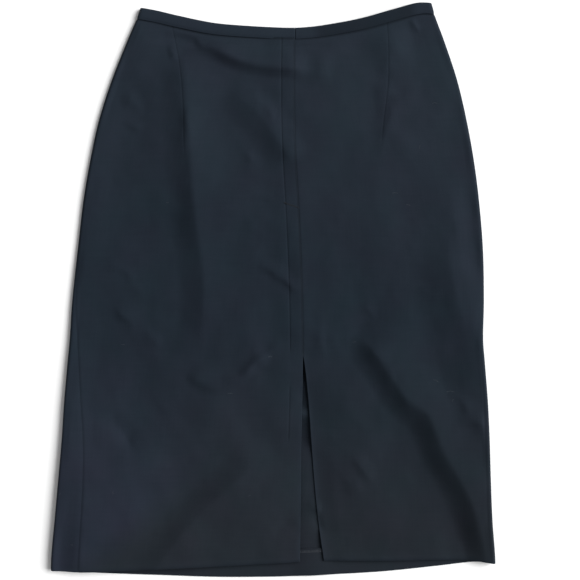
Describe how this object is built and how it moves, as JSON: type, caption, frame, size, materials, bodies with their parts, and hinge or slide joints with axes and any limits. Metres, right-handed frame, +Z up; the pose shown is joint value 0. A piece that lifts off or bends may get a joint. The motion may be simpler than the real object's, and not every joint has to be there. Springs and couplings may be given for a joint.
{
  "type": "pencil skirt",
  "caption": "Knee-length pencil skirt in dark suiting, laid flat with its narrow waistband, lapped back zip and back slit on top.",
  "frame": {"origin": "middle of the skirt's outline, on the surface that it lies on", "axes": "+Y from the hem to the waist, +X to the right as seen from above with the waist away, +Z up out of the centre back"},
  "size_m": [0.5196, 0.6721, 0.0151],
  "materials": {
    "suiting": "dark navy wool-blend suiting in a fine twill, matt with a slight sheen",
    "zip_tape": "woven tape with a nylon coil, dyed to match",
    "zip_slider": "dark enamelled slider"
  },
  "bodies": {
    "root": {"front_panel": "suiting", "front_hem": "suiting", "back_left": "suiting", "back_right": "suiting", "waistband": "suiting", "zip_tape": "zip_tape", "zip_slider": "zip_slider"}
  },
  "joints": []
}
